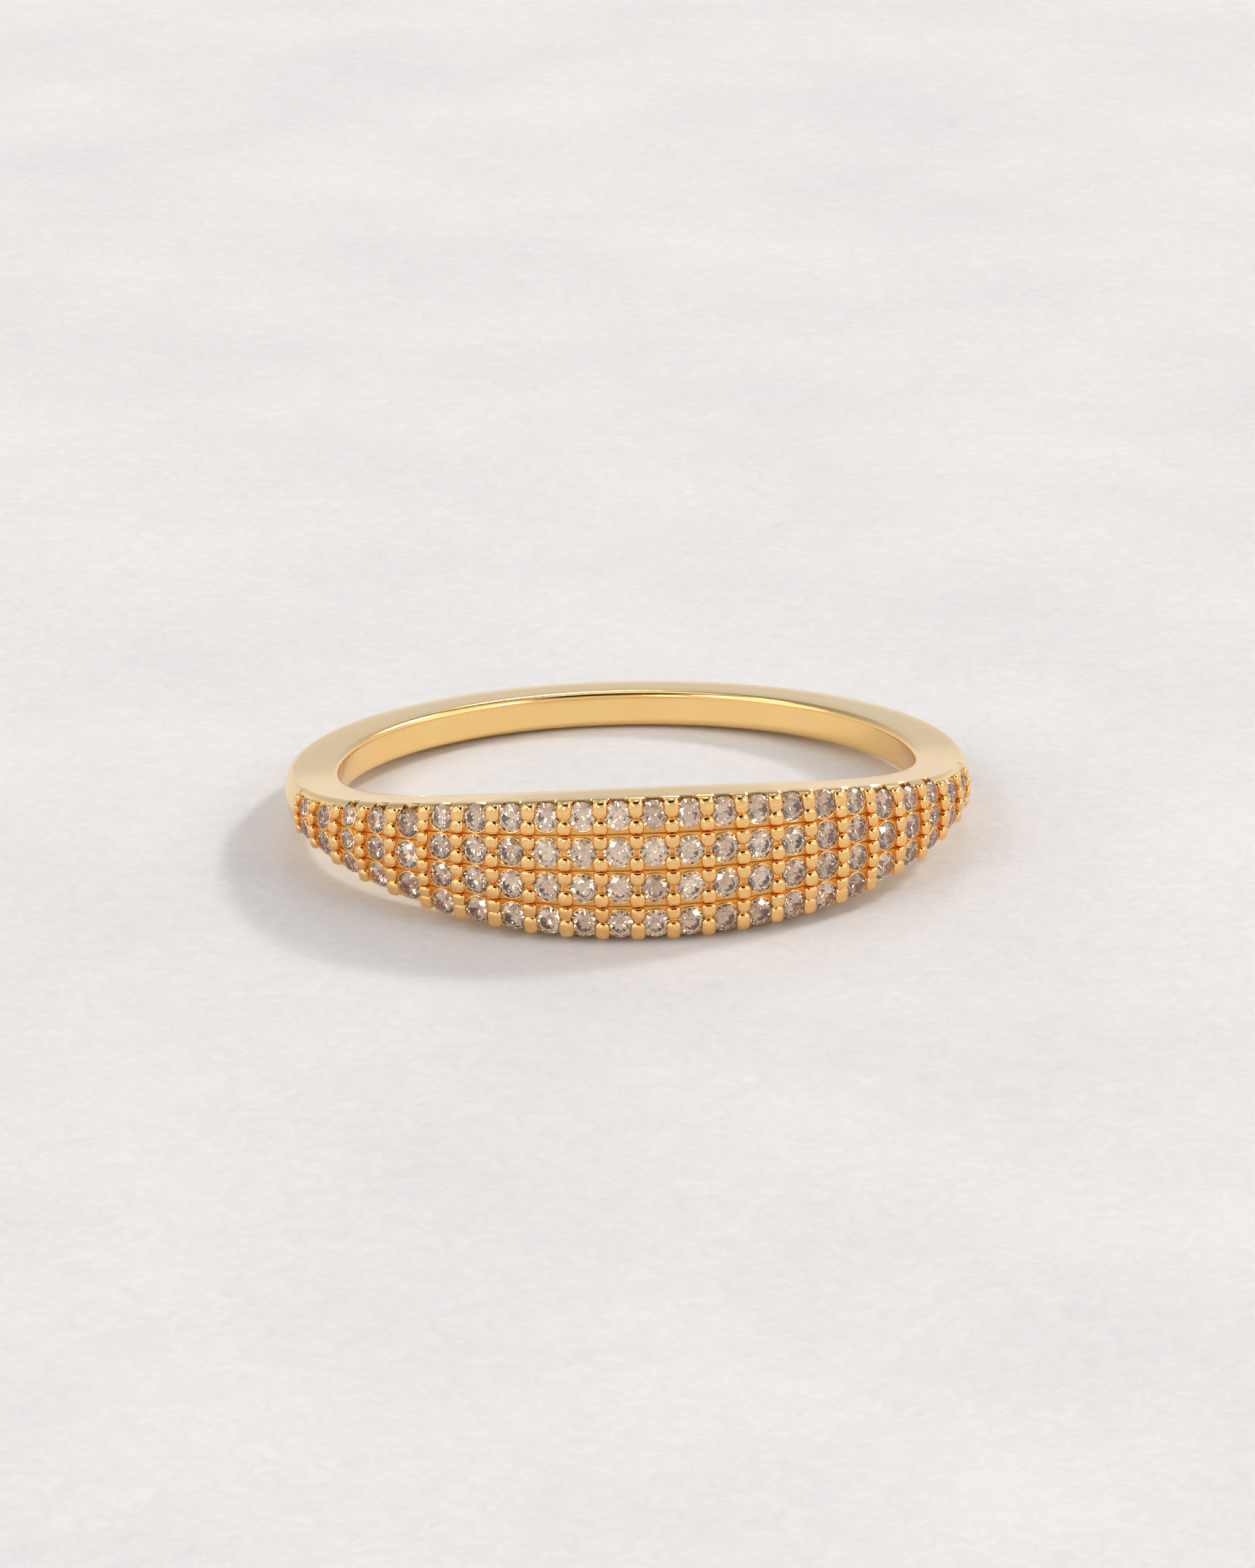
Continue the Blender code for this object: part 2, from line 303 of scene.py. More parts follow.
def notch_cutters():
    """A rounded notch through the rim beyond each end stone of the longer columns."""
    points, faces = [], []
    for column in range(-LAST_OF_THREE, LAST_OF_THREE + 1):
        angle = column_angle(column)
        side = half_width(angle)
        end = row_heights(angle, row_count(column))[-1]
        half = NOTCH_SHARE * stone_radius(column)
        inner = face_radius(angle, end) - NOTCH_DEPTH
        along = Vector((math.cos(angle), math.sin(angle), 0.0))
        out = ring_point(angle, 1.0, 0.0)
        for sign in (-1.0, 1.0):
            start = len(points)
            levels = [(end, 0.0), (side - NOTCH_BEVEL, 0.0), (side + CUT_PAST, NOTCH_BEVEL + CUT_PAST)]
            for height, grow in levels:
                plan = notch_outline(half + grow, inner - grow, OUTER_RADIUS + CUT_PAST, NOTCH_CORNER + grow)
                points += [along * x + out * y + Vector((0.0, 0.0, sign * height)) for x, y in plan]
            stack = stacked_faces(start, len(plan), len(levels))
            faces += stack if sign < 0.0 else [tuple(reversed(face)) for face in stack]
    return mesh_object("notch_cutters", points, faces)


def cut_away(target, cutter):
    """Cut one closed shape out of another for good."""
    step = target.modifiers.new(cutter.name, "BOOLEAN")
    step.operation = "DIFFERENCE"
    step.solver = "MANIFOLD"
    step.object = cutter
    graph = bpy.context.evaluated_depsgraph_get()
    cut = bpy.data.meshes.new_from_object(target.evaluated_get(graph))
    target.modifiers.clear()
    target.data = cut


def srgb(code):
    """Linear colour from an sRGB hex value."""
    channels = [int(code[i:i + 2], 16) / 255.0 for i in (1, 3, 5)]
    return [c / 12.92 if c <= 0.04045 else ((c + 0.055) / 1.055) ** 2.4 for c in channels] + [1.0]


def add(tree, kind, inputs=None, **settings):
    """Add a node with its settings, and with a value or a link for each input named."""
    made = tree.nodes.new(kind)
    for name, value in settings.items():
        setattr(made, name, value)
    for socket, source in (inputs or {}).items():
        if isinstance(source, bpy.types.NodeSocket):
            tree.links.new(source, made.inputs[socket])
        else:
            made.inputs[socket].default_value = source
    return made


def new_surface(name):
    """A material with an empty node tree, and that tree."""
    made = bpy.data.materials.new(name)
    made.use_nodes = True
    made.node_tree.nodes.clear()
    return made, made.node_tree


# Yellow gold, buffed: bright and even, with hair-fine polishing lines that run round the ring. The real
# lines are a few thousandths of a millimetre wide, so they are drawn at 0.05 mm to show at all. They are ten
# times as long as wide, and the buffing leaves waves and patches of gloss about 1.5 mm across.
LINE_WIDTH = 0.05 * MM
LINE_SQUEEZE = 0.1
LINE_DEPTH = 0.001 * MM
BUFF_PATCH = 1.5 * MM
BUFF_DEPTH = 0.03 * MM
# Most values of a noise lie in this span. Its marks are about half as wide as its cells, which is why each
# scale below is 0.5 over a real width.
NOISE_SPAN = {"From Min": 0.3, "From Max": 0.7}

band_gold, tree = new_surface("yellow_gold_buffed")
place = add(tree, "ShaderNodeTexCoord")
parts = add(tree, "ShaderNodeSeparateXYZ", {0: place.outputs["Object"]})
turn = add(tree, "ShaderNodeMath", {0: parts.outputs["X"], 1: parts.outputs["Y"]}, operation="ARCTAN2")
long_way = add(tree, "ShaderNodeMath", {0: turn.outputs[0], 1: LINE_SQUEEZE * OUTER_RADIUS},
               operation="MULTIPLY")
reach = add(tree, "ShaderNodeVectorMath", {0: place.outputs["Object"]}, operation="LENGTH")
round_ring = add(tree, "ShaderNodeCombineXYZ",
                 {"X": long_way.outputs[0], "Y": parts.outputs["Z"], "Z": reach.outputs["Value"]})
lines = add(tree, "ShaderNodeTexNoise",
            {"Vector": round_ring.outputs[0], "Scale": 0.5 / LINE_WIDTH, "Detail": 2.0})
patches = add(tree, "ShaderNodeTexNoise",
              {"Vector": place.outputs["Object"], "Scale": 0.5 / BUFF_PATCH, "Detail": 3.0})
colour = add(tree, "ShaderNodeMix",
             {"Factor": patches.outputs["Fac"], "A": srgb("#FFDC98"), "B": srgb("#FFD58C")},
             data_type="RGBA")
gloss = add(tree, "ShaderNodeMapRange",
            {"Value": patches.outputs["Fac"], **NOISE_SPAN, "To Min": 0.13, "To Max": 0.20})
waves = add(tree, "ShaderNodeBump",
            {"Height": patches.outputs["Fac"], "Strength": 0.5, "Distance": BUFF_DEPTH})
bump = add(tree, "ShaderNodeBump",
           {"Height": lines.outputs["Fac"], "Strength": 0.25, "Distance": LINE_DEPTH,
            "Normal": waves.outputs[0]})
metal = add(tree, "ShaderNodeBsdfPrincipled",
            {"Base Color": colour.outputs["Result"], "Metallic": 1.0, "Roughness": gloss.outputs[0],
             "Normal": bump.outputs[0]})
add(tree, "ShaderNodeOutputMaterial", {"Surface": metal.outputs[0]})

# Yellow gold cut with drill and graver, rougher because it was never buffed. Its deeper colour is painted
# shade and painted reflection: it stands in for the shade in the bed's hollows and the gold they mirror, and
# it varies along the tool marks, which are about 0.04 mm apart. It covers the bed with its seats and
# notches, down to 0.12 mm below the face. The side faces and the skin of the rim's rounding stay buffed.
TOOL_MARK = 0.04 * MM
TOOL_MARK_DEPTH = 0.004 * MM
TOOLED_SHADED_DEPTH = 0.12 * MM
RIM_SKIN_SHARE = 0.95
RIM_TOOLED_SHADED_SHARE = 0.98

cut_gold_shaded, tree = new_surface("yellow_gold_cut_painted_shade")
place = add(tree, "ShaderNodeTexCoord")
marks = add(tree, "ShaderNodeTexNoise",
            {"Vector": place.outputs["Object"], "Scale": 0.5 / TOOL_MARK, "Detail": 2.0})
# Painted shade and painted reflection: the deeper colours stand in for gold that mirrors gold in the hollows
colour = add(tree, "ShaderNodeMix",
             {"Factor": marks.outputs["Fac"], "A": srgb("#F0BF76"), "B": srgb("#D1994F")},
             data_type="RGBA")
bump = add(tree, "ShaderNodeBump",
           {"Height": marks.outputs["Fac"], "Strength": 0.5, "Distance": TOOL_MARK_DEPTH})
metal = add(tree, "ShaderNodeBsdfPrincipled",
            {"Base Color": colour.outputs["Result"], "Metallic": 1.0, "Roughness": 0.30,
             "Normal": bump.outputs[0]})
add(tree, "ShaderNodeOutputMaterial", {"Surface": metal.outputs[0]})

band = band_mesh()
seats = seat_cutters()
notches = notch_cutters()
cut_away(band, seats)
cut_away(band, notches)
bpy.data.objects.remove(seats, do_unlink=True)
band.data.shade_smooth()
band.data.set_sharp_from_angle(angle=BAND_CREASE)
band.data.materials.clear()
band.data.materials.append(band_gold)
band.data.materials.append(cut_gold_shaded)
# Faces of the bed, its seats and notches get the cut gold with its painted shade; the rest stays buffed
for face in band.data.polygons:
    x, y, z = face.center
    angle, radius = math.atan2(x, -y), math.hypot(x, y)
    shoulder = half_width(angle) - RIM_ROUND
    rim = face_radius(angle, shoulder) - FLOOR_DROP - RIM_ROUND
    past = abs(z) - shoulder
    on_rim = past > 0.0 and math.hypot(radius - rim, past) > RIM_SKIN_SHARE * RIM_ROUND
    near_top = radius > face_radius(angle, min(shoulder, abs(z))) - TOOLED_SHADED_DEPTH
    tooled_and_shaded = near_top and past < RIM_TOOLED_SHADED_SHARE * RIM_ROUND and abs(angle) < FIELD_END
    face.material_index = 1 if tooled_and_shaded and not on_rim else 0
band.matrix_world = REST
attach(band, "root")
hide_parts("band")


# Beads
# Gold posts left standing between the stones when the casting was made, and pushed over their edges by
# hand with a cupped beading tool. Each pair is parted by a saw line, which leaves it flat on that side.

BEAD_DIAMETER = 0.42 * MM
BEAD_CLEARANCE = 0.02 * MM
BEAD_TO_RIM = 0.11 * MM
END_BEAD_DISTANCE = 0.60 * MM
SAW_LINE = 0.025 * MM
# Distance of a bead from its stone's row, in shares of the rows' pitch: the most and the least
BEAD_OFFSET_SHARE = 0.30
LEAST_OFFSET_SHARE = 0.25
# Height, which falls towards the ends of the field, and how much the beads differ in size and in height
BEAD_RISE = 0.19 * MM
END_RISE_SHARE = 0.68
END_FALL_POWER = 4
SIZE_RANGE = (0.96, 1.03)
RISE_RANGE = (0.92, 1.02)
# Side view from the buried foot to the top, in shares of the radius and of the height
BEAD_SIDES = 24
BEAD_PROFILE = [(1.0, -1.6), (1.05, -0.2), (1.08, 0.05), (1.09, 0.20), (1.06, 0.38), (0.99, 0.54),
                (0.89, 0.68), (0.76, 0.80), (0.60, 0.89), (0.42, 0.955), (0.22, 0.99), (0.06, 1.0)]
# Plan: how square it is on the sawn side and on the round one, and how late its sawn side draws in
SAWN_POWER = 4.0
ROUND_POWER = 2.2
SAWN_STEEPNESS = 0.6
BEAD_CREASE = math.radians(50.0)


def wall_rows(wall):
    """Rows of stones that the beads of a wall hold. A wall has the number of the column before it."""
    nearer, farther = sorted((abs(wall), abs(wall + 1)))
    return row_count(farther) if farther > LAST_OF_THREE else row_count(nearer)


def wall_beads(wall):
    """Angle, height, radius and signed distance to the flat side of each bead of a wall."""
    angle = 0.5 * (column_angle(wall) + column_angle(wall + 1))
    if min(abs(wall), abs(wall + 1)) == LAST_COLUMN:
        angle = math.copysign(column_angle(LAST_COLUMN) + END_BEAD_DISTANCE / OUTER_RADIUS, angle)
    rows = wall_rows(wall)
    room = half_width(angle) - BEAD_TO_RIM
    if rows == 2:
        # Four beads in line, evenly spaced
        spacing = 0.5 * room
        radius = 0.5 * min(BEAD_DIAMETER, spacing - BEAD_CLEARANCE)
        return [(angle, (i - 1.5) * spacing, radius, math.copysign(radius, i - 1.5)) for i in range(4)]
    pitch = row_pitch(angle, rows)
    # Two beads have to fit between two rows, or else they are made smaller
    paired = min(BEAD_OFFSET_SHARE * pitch, 0.5 * (pitch - BEAD_DIAMETER - BEAD_CLEARANCE))
    offset = max(paired, LEAST_OFFSET_SHARE * pitch)
    radius = 0.5 * min(BEAD_DIAMETER, pitch - 2.0 * offset - BEAD_CLEARANCE)
    limit = room - radius
    beads = []
    for stone in row_heights(angle, rows):
        for sign in (-1.0, 1.0):
            height = max(-limit, min(limit, stone + sign * offset))
            flat = min(stone * sign + 0.5 * pitch, half_width(angle)) - height * sign
            beads.append((angle, height, radius, sign * (flat - 0.5 * SAW_LINE)))
    return beads


def bead_points(rng, angle, height, radius, flat):
    """A domed post with a round plan, squared off on the side of the saw line."""
    centre, normal, along, across = face_frame(angle, height)
    toward = across * math.copysign(1.0, flat)
    size = rng.uniform(*SIZE_RANGE)
    lower = (1.0 - END_RISE_SHARE) * (angle / FIELD_END) ** END_FALL_POWER
    rise = BEAD_RISE * (1.0 - lower) * rng.uniform(*RISE_RANGE)
    points = []
    for scale, level in BEAD_PROFILE:
        for i in range(BEAD_SIDES):
            turn = 2.0 * math.pi * i / BEAD_SIDES
            x, y = math.cos(turn), math.sin(turn)
            if y > 0.0:
                power, length, steep = SAWN_POWER, abs(flat), min(scale, 1.0) ** SAWN_STEEPNESS
            else:
                power, length, steep = ROUND_POWER, radius, scale * size
            reach = (abs(x / radius) ** power + abs(y / length) ** power) ** (-1.0 / power)
            spoke = along * x * math.copysign(scale * size, flat) + toward * y * steep
            points.append(centre + normal * rise * level + spoke * reach)
    return points


def beads_mesh():
    """Every bead of every wall."""
    rng = random.Random(11)
    points, faces = [], []
    for wall in range(-LAST_COLUMN - 1, LAST_COLUMN + 1):
        for bead in wall_beads(wall):
            start = len(points)
            points += bead_points(rng, *bead)
            faces += stacked_faces(start, BEAD_SIDES, len(BEAD_PROFILE))
    return mesh_object("gold_beads", points, faces)


# Yellow gold, burnished by the beading tool: harder and glossier than the band, so that each bead shows a
# sharp white glint, with faint dents about 0.1 mm across where the tool has turned.
DENT = 0.10 * MM
DENT_DEPTH = 0.004 * MM

bead_gold, tree = new_surface("yellow_gold_burnished")
place = add(tree, "ShaderNodeTexCoord")
dents = add(tree, "ShaderNodeTexNoise",
            {"Vector": place.outputs["Object"], "Scale": 0.5 / DENT, "Detail": 1.0})
colour = add(tree, "ShaderNodeMix",
             {"Factor": dents.outputs["Fac"], "A": srgb("#FFD491"), "B": srgb("#F3BB74")},
             data_type="RGBA")
gloss = add(tree, "ShaderNodeMapRange",
            {"Value": dents.outputs["Fac"], **NOISE_SPAN, "To Min": 0.04, "To Max": 0.10})
bump = add(tree, "ShaderNodeBump",
           {"Height": dents.outputs["Fac"], "Strength": 0.3, "Distance": DENT_DEPTH})
metal = add(tree, "ShaderNodeBsdfPrincipled",
            {"Base Color": colour.outputs["Result"], "Metallic": 1.0, "Roughness": gloss.outputs[0],
             "Normal": bump.outputs[0]})
add(tree, "ShaderNodeOutputMaterial", {"Surface": metal.outputs[0]})

beads = beads_mesh()
beads.data.shade_smooth()
beads.data.set_sharp_from_angle(angle=BEAD_CREASE)
beads.data.materials.append(bead_gold)
beads.matrix_world = REST
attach(beads, "root")
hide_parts("pave_field")


# Seat rims
# The thin bright lip of gold round each stone: the wall of its drilled seat, cut at a slant with a graver
# and pressed against the stone's edge. It catches the light as a fine line.

LIP = 0.036 * MM
LIP_SIDES = 32
LIP_CREASE = math.radians(50.0)
# Section of a lip: distance outwards from the stone's edge in shares of its width, and height in millimetres
LIP_PROFILE = [(1.0, -0.20), (1.0, -0.022), (0.7, -0.002), (0.1, 0.006), (-0.3, 0.0), (0.1, -0.022),
               (0.15, -0.20)]


def lips_mesh():
    """A turned ring of gold round each stone."""
    points, faces = [], []
    levels = len(LIP_PROFILE)
    for angle, height, radius in STONES:
        centre, normal, along, across = face_frame(angle, height)
        start = len(points)
        for i in range(LIP_SIDES):
            turn = 2.0 * math.pi * i / LIP_SIDES
            spoke = along * math.cos(turn) + across * math.sin(turn)
            points += [centre + normal * rise * MM + spoke * (radius + share * LIP)
                       for share, rise in LIP_PROFILE]
        for i in range(LIP_SIDES):
            here, after = start + i * levels, start + (i + 1) % LIP_SIDES * levels
            for j in range(levels):
                k = (j + 1) % levels
                faces.append((here + j, after + j, after + k, here + k))
    return mesh_object("seat_rims", points, faces)


lips = lips_mesh()
cut_away(lips, notches)
bpy.data.objects.remove(notches, do_unlink=True)
lips.data.shade_smooth()
lips.data.set_sharp_from_angle(angle=LIP_CREASE)
lips.data.materials.clear()
lips.data.materials.append(bead_gold)
lips.matrix_world = REST
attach(lips, "root")


# Stones
# Small round brilliants, cut and polished by machine: a table, a crown of 32 facets, a thin girdle and a
# pavilion of 24. Each is dropped into its seat and held by four beads.

# Radii of the table, of the star facets' tips and of the lower facets' tips, and heights of the crown, the
# girdle and the pavilion, all in shares of the stone's radius
TABLE_SHARE = 0.56
STAR_SHARE = 0.76
LOWER_SHARE = 0.25
CROWN_SHARE = 0.29
GIRDLE_SHARE = 0.05
PAVILION_SHARE = 0.86
# Chance turn and tilt of a stone in its seat. The facets repeat after an eighth of a turn.
STONE_TURN = 0.25 * math.pi
STONE_TILT = math.radians(1.2)
# Parts of the warm tint that differ from stone to stone, and from facet to facet. The tint is painted
# reflection of the gold round the stones, and its change from facet to facet is painted light and shade.
STONE_TONE = 0.4
FACET_PAINTED_SHADE = 0.6


def brilliant():
    """Points and faces of a round brilliant with a girdle radius of one."""
    def ring(radius, height, count, shift):
        turns = [2.0 * math.pi * (i + shift) / count for i in range(count)]
        return [Vector((radius * math.cos(turn), radius * math.sin(turn), height)) for turn in turns]

    slant = math.cos(math.pi / 8.0)
    star_height = CROWN_SHARE * (1.0 - STAR_SHARE * slant) / (1.0 - TABLE_SHARE)
    lower_height = -GIRDLE_SHARE - PAVILION_SHARE * (1.0 - LOWER_SHARE * slant)
    points = ring(TABLE_SHARE, CROWN_SHARE, 8, 0.0) + ring(STAR_SHARE, star_height, 8, 0.5)
    points += ring(1.0, 0.0, 16, 0.0) + ring(1.0, -GIRDLE_SHARE, 16, 0.0)
    points += ring(LOWER_SHARE, lower_height, 8, 0.5) + [Vector((0.0, 0.0, -GIRDLE_SHARE - PAVILION_SHARE))]
    # Number of the first point of each ring
    table, star, upper, under, lower, tip = 0, 8, 16, 32, 48, 56
    faces = [tuple(range(8))]
    for i in range(8):
        k, before = (i + 1) % 8, (i - 1) % 8
        here, middle, after = 2 * i, 2 * i + 1, (2 * i + 2) % 16
        faces.append((table + i, star + i, table + k))
        faces.append((table + i, star + before, upper + here, star + i))
        faces.append((upper + here, upper + middle, star + i))
        faces.append((upper + middle, upper + after, star + i))
        faces.append((under + here, lower + i, under + middle))
        faces.append((under + middle, lower + i, under + after))
        faces.append((under + here, lower + before, tip, lower + i))
    for i in range(16):
        k = (i + 1) % 16
        faces.append((under + i, under + k, upper + k, upper + i))
    return points, faces


def stones_mesh():
    """Every stone, each turned by chance in its seat."""
    rng = random.Random(5)
    shape, facets = brilliant()
    points, faces, facet_shades = [], [], []
    for angle, height, radius in STONES:
        centre, normal, along, across = face_frame(angle, height)
        seat = Matrix((along, across, normal)).transposed()
        turn = Matrix.Rotation(rng.uniform(0.0, STONE_TURN), 3, "Z")
        tilt = Matrix.Rotation(rng.uniform(-STONE_TILT, STONE_TILT), 3, "X")
        place = seat @ tilt @ turn
        start = len(points)
        points += [centre - normal * GIRDLE_DROP + place @ point * radius for point in shape]
        faces += [tuple(start + i for i in face) for face in facets]
        # Each stone's share and each facet's share of the painted tint and shade
        tone = rng.random()
        facet_shades += [STONE_TONE * tone + FACET_PAINTED_SHADE * rng.random() for _ in facets]
    made = mesh_object("clear_stones", points, faces)
    record = made.data.attributes.new("stone_painted_shade", "FLOAT", "FACE")
    record.data.foreach_set("value", facet_shades)
    return made


# Clear stone, cut and polished: high refraction and sharp white flashes. Its warm tint is painted reflection
# of the gold round it, lighter or darker from stone to stone, and from facet to facet as painted light and
# shade.
clear_stone, tree = new_surface("clear_stone_polished")
tone = add(tree, "ShaderNodeAttribute", attribute_name="stone_painted_shade")
# Painted reflection and shade: warm where gold shows in the stones, lighter or darker facet by facet
colour = add(tree, "ShaderNodeMix",
             {"Factor": tone.outputs["Fac"], "A": srgb("#FFEACE"), "B": srgb("#A87850")},
             data_type="RGBA")
gem = add(tree, "ShaderNodeBsdfPrincipled",
          {"Base Color": colour.outputs["Result"], "Roughness": 0.0, "IOR": 2.20, "Transmission Weight": 1.0})
add(tree, "ShaderNodeOutputMaterial", {"Surface": gem.outputs[0]})

stones = stones_mesh()
stones.data.materials.append(clear_stone)
stones.matrix_world = REST
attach(stones, "root")


# Ground, light and camera
# Pale uncoated paper under a soft low light from behind the ring's right side. The studio is pale, with
# bright walls left and right, a darker ceiling and small bright patches that the gold and stones mirror.

# Uncoated paper: matt and nearly white, with a fine felt of fibres and faint clouds. Real fibres are a few
# hundredths of a millimetre wide, so clumps of them are drawn, 0.35 mm wide.
PAPER_REACH = 0.6
PAPER_DROP = 0.002 * MM
FIBRE = 0.35 * MM
FIBRE_DEPTH = 0.06 * MM
CLOUD = 6.0 * MM

corners = [(-1.0, -1.0), (1.0, -1.0), (1.0, 1.0), (-1.0, 1.0)]
paper = mesh_object("paper", [(PAPER_REACH * x, PAPER_REACH * y, -PAPER_DROP) for x, y in corners],
                    [(0, 1, 2, 3)])
paper_white, tree = new_surface("paper_uncoated")
place = add(tree, "ShaderNodeTexCoord")
fibres = add(tree, "ShaderNodeTexNoise",
             {"Vector": place.outputs["Object"], "Scale": 0.5 / FIBRE, "Detail": 3.0, "Roughness": 0.6,
              "Distortion": 1.6})
clouds = add(tree, "ShaderNodeTexNoise",
             {"Vector": place.outputs["Object"], "Scale": 0.5 / CLOUD, "Detail": 2.0})
mixed = add(tree, "ShaderNodeMath", {0: fibres.outputs["Fac"], 1: clouds.outputs["Fac"]}, operation="ADD")
tone = add(tree, "ShaderNodeMapRange", {"Value": mixed.outputs[0], "From Min": 0.6, "From Max": 1.4})
colour = add(tree, "ShaderNodeMix",
             {"Factor": tone.outputs[0], "A": srgb("#DDDDDF"), "B": srgb("#EDECED")}, data_type="RGBA")
bump = add(tree, "ShaderNodeBump",
           {"Height": fibres.outputs["Fac"], "Strength": 0.5, "Distance": FIBRE_DEPTH})
matt = add(tree, "ShaderNodeBsdfPrincipled",
           {"Base Color": colour.outputs["Result"], "Roughness": 0.9, "Normal": bump.outputs[0]})
add(tree, "ShaderNodeOutputMaterial", {"Surface": matt.outputs[0]})
paper.data.materials.append(paper_white)

# Name, strength, width, azimuth from +X towards +Y and elevation of each light, and its colour. The first
# casts the soft shadows, and the other two are what the pale walls throw back.
LIGHTS = [("side_light", 0.86, 7.0, 30.0, 38.0, "#FFF8EE"),
          ("left_wall_light", 0.50, 50.0, -165.0, 35.0, "#FFEBD4"),
          ("right_wall_light", 0.42, 50.0, -15.0, 35.0, "#FFEBD4")]


def direction(azimuth, elevation):
    """Direction to a place in the room, from its azimuth and elevation in degrees."""
    azimuth, elevation = math.radians(azimuth), math.radians(elevation)
    return Vector((math.cos(azimuth) * math.cos(elevation), math.sin(azimuth) * math.cos(elevation),
                   math.sin(elevation)))


for name, strength, width, azimuth, elevation, code in LIGHTS:
    lamp = bpy.data.objects.new(name, bpy.data.lights.new(name, "SUN"))
    lamp.data.energy = strength
    lamp.data.angle = math.radians(width)
    lamp.data.color = srgb(code)[:3]
    lamp.rotation_euler = direction(azimuth, elevation).to_track_quat("Z", "Y").to_euler()
    bpy.context.scene.collection.objects.link(lamp)

# Brightness of the room from the horizon up to the ceiling, by the sine of the elevation
ROOM_STRENGTH = 0.91
ROOM_SHADES = [(0.0, "#FFFFFF"), (0.2, "#F8F8F8"), (0.4, "#E6E5E5"), (0.65, "#B9B7B7"), (1.0, "#A8A6A6")]
# Cooler light from behind the ring, which comes in above the horizon: spans along +Y and along +Z
COOL_TINT = "#E2E8F6"
COOL_BEHIND = {"From Min": -0.3, "From Max": 0.6}
COOL_ABOVE = {"From Min": 0.07, "From Max": 0.15}
# Azimuth, elevation and radius in degrees, brightness and colour of each patch of the room. The first is a
# dark one above the front, which gives the stones their dark facets.
ROOM_PATCHES = [(-86.0, 62.0, 22.0, 1.0, "#1C1815"),
                (82.0, 38.0, 4.0, 12.0, "#FFFFFF"),
                (30.0, 38.0, 9.0, 5.0, "#FFFDF8"),
                (-140.0, 40.0, 8.0, 5.0, "#FFFFFF"),
                (-112.0, 24.0, 5.0, 10.0, "#FFFFFF"),
                (-40.0, 30.0, 6.0, 8.0, "#FFFFFF"),
                (170.0, 55.0, 5.0, 6.0, "#FFFFFF"),
                (90.0, 82.0, 19.0, 1.1, "#FFFFFF")]
# A patch fades out between these shares of its radius
PATCH_INNER = 0.8
PATCH_OUTER = 1.2

studio = bpy.data.worlds.new("studio")
bpy.context.scene.world = studio
studio.use_nodes = True
studio.node_tree.nodes.clear()
tree = studio.node_tree
place = add(tree, "ShaderNodeTexCoord")
parts = add(tree, "ShaderNodeSeparateXYZ", {0: place.outputs["Generated"]})
shade = add(tree, "ShaderNodeValToRGB", {"Fac": parts.outputs["Z"]})
ramp = shade.color_ramp
for position, _ in ROOM_SHADES[1:-1]:
    ramp.elements.new(position)
for step, (_, code) in zip(ramp.elements, ROOM_SHADES):
    step.color = srgb(code)
behind = add(tree, "ShaderNodeMapRange", {"Value": parts.outputs["Y"], **COOL_BEHIND},
             interpolation_type="SMOOTHSTEP")
raised = add(tree, "ShaderNodeMapRange", {"Value": parts.outputs["Z"], **COOL_ABOVE},
             interpolation_type="SMOOTHSTEP")
cool = add(tree, "ShaderNodeMath", {0: behind.outputs[0], 1: raised.outputs[0]}, operation="MULTIPLY")
room = add(tree, "ShaderNodeMix",
           {"Factor": cool.outputs[0], "A": shade.outputs["Color"], "B": srgb(COOL_TINT)},
           data_type="RGBA", blend_type="MULTIPLY")
for azimuth, elevation, radius, power, code in ROOM_PATCHES:
    near = add(tree, "ShaderNodeVectorMath",
               {0: place.outputs["Generated"], 1: direction(azimuth, elevation)}, operation="DOT_PRODUCT")
    patch = add(tree, "ShaderNodeMapRange",
                {"Value": near.outputs["Value"], "From Min": math.cos(PATCH_OUTER * math.radians(radius)),
                 "From Max": math.cos(PATCH_INNER * math.radians(radius))},
                interpolation_type="SMOOTHSTEP")
    room = add(tree, "ShaderNodeMix",
               {"Factor": patch.outputs[0], "A": room.outputs["Result"],
                "B": [power * channel for channel in srgb(code)]}, data_type="RGBA")
sky = add(tree, "ShaderNodeBackground", {"Color": room.outputs["Result"], "Strength": ROOM_STRENGTH})
add(tree, "ShaderNodeOutputWorld", {"Surface": sky.outputs[0]})

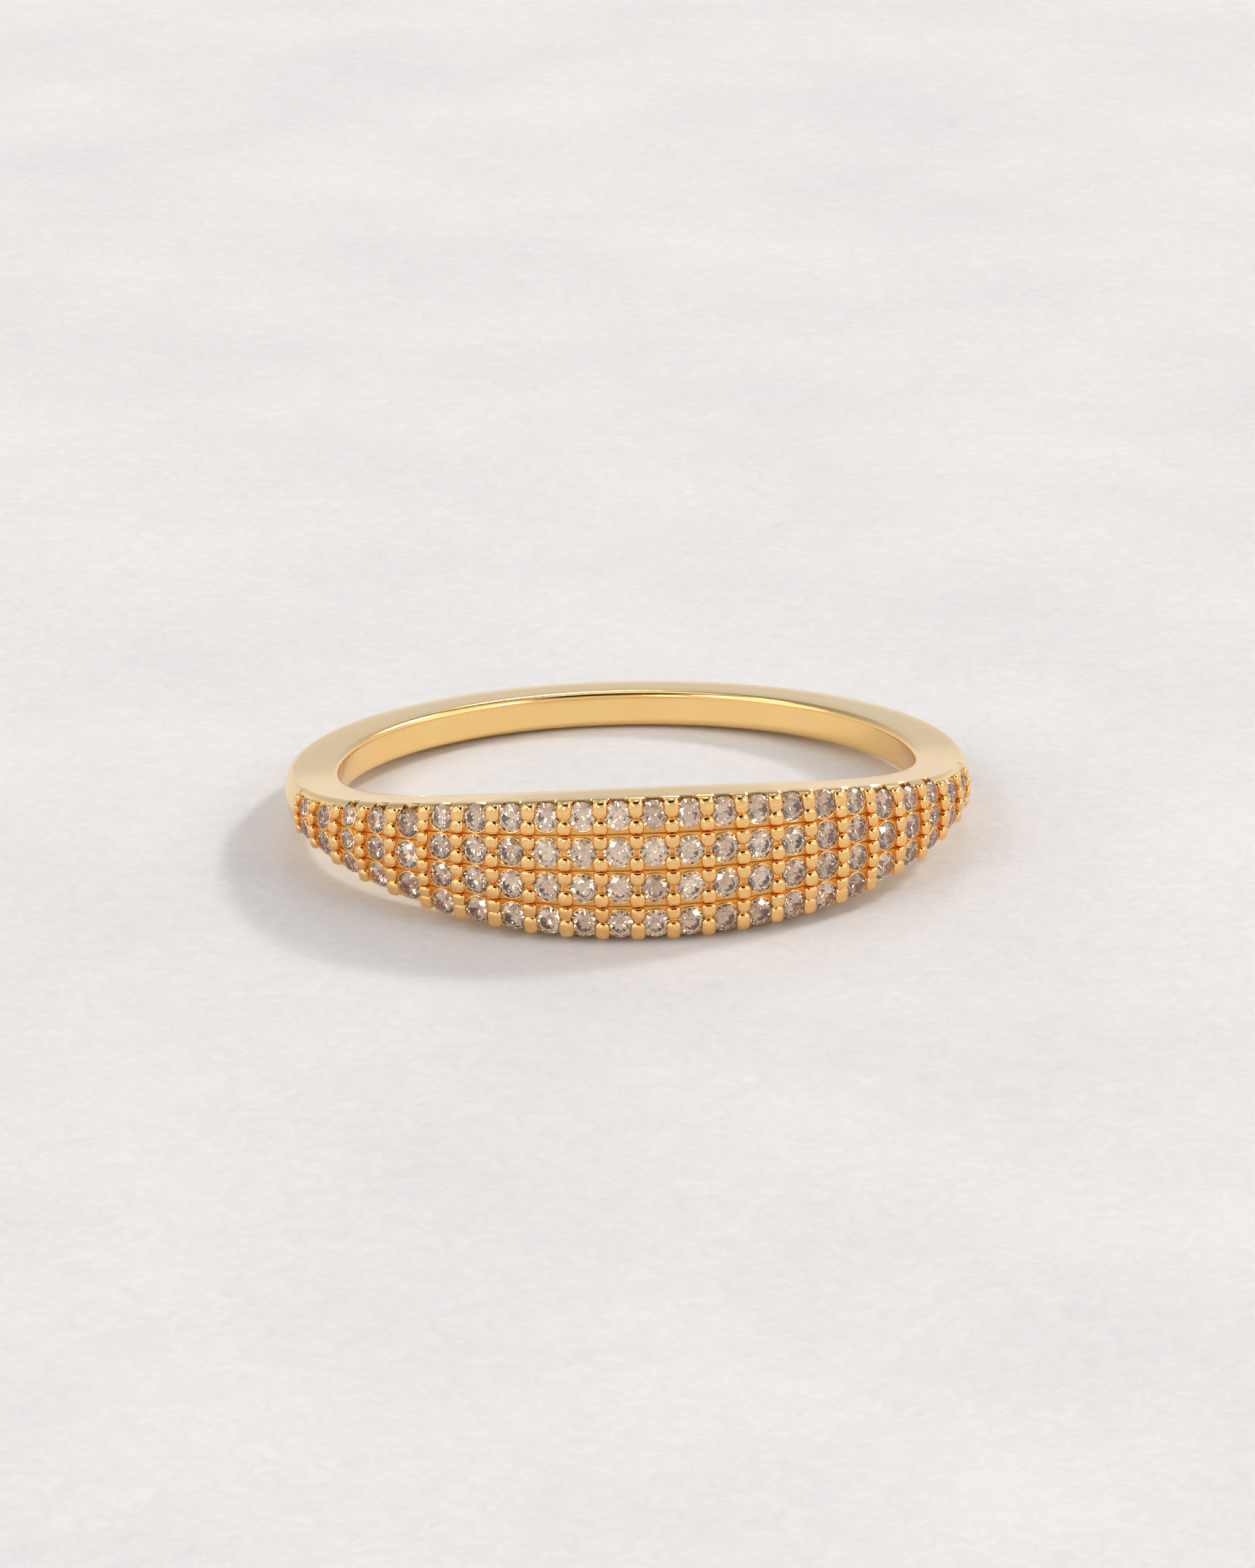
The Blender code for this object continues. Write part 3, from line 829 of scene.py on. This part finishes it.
# Camera at the photograph's angle, on the photograph's scale of pixels to a millimetre. The last two are how
# far the ring's middle lies from the middle of the frame, in its pixels.
CAMERA_DISTANCE = 180.0 * MM
CAMERA_ELEVATION = math.radians(19.39)
CAMERA_AZIMUTH = math.radians(-4.29)
CAMERA_ROLL = math.radians(-0.853)
CAMERA_NEAREST = 10.0 * MM
SENSOR_HEIGHT = 36.0
PHOTO_HEIGHT = 2156.0
PIXELS_PER_MM = 46.37
CENTRE_RIGHT = -0.9
CENTRE_UP = 7.0

back = Vector((math.sin(CAMERA_AZIMUTH) * math.cos(CAMERA_ELEVATION),
               -math.cos(CAMERA_AZIMUTH) * math.cos(CAMERA_ELEVATION), math.sin(CAMERA_ELEVATION)))
right = Vector((0.0, 0.0, 1.0)).cross(back).normalized()
above = back.cross(right)
turned_right = right * math.cos(CAMERA_ROLL) + above * math.sin(CAMERA_ROLL)
turned_up = above * math.cos(CAMERA_ROLL) - right * math.sin(CAMERA_ROLL)
camera = bpy.data.objects.new("camera", bpy.data.cameras.new("camera"))
camera.matrix_world = (Matrix.Translation(REST.translation + back * CAMERA_DISTANCE)
                       @ Matrix((turned_right, turned_up, back)).transposed().to_4x4())
camera.data.sensor_fit = "VERTICAL"
camera.data.sensor_height = SENSOR_HEIGHT
camera.data.lens = SENSOR_HEIGHT * PIXELS_PER_MM * CAMERA_DISTANCE / MM / PHOTO_HEIGHT
camera.data.shift_x = -CENTRE_RIGHT / PHOTO_HEIGHT
camera.data.shift_y = -CENTRE_UP / PHOTO_HEIGHT
camera.data.clip_start = CAMERA_NEAREST
bpy.context.scene.collection.objects.link(camera)
bpy.context.scene.camera = camera

# Plain colours, and enough bounces for gold that mirrors gold and for light that crosses the stones
view = bpy.context.scene.view_settings
view.view_transform = "Standard"
view.look = "None"
view.exposure = 0.0
light_paths = bpy.context.scene.cycles
light_paths.max_bounces = 16
light_paths.glossy_bounces = 8
light_paths.transmission_bounces = 16
light_paths.use_denoising = True
light_paths.sample_clamp_indirect = 40.0
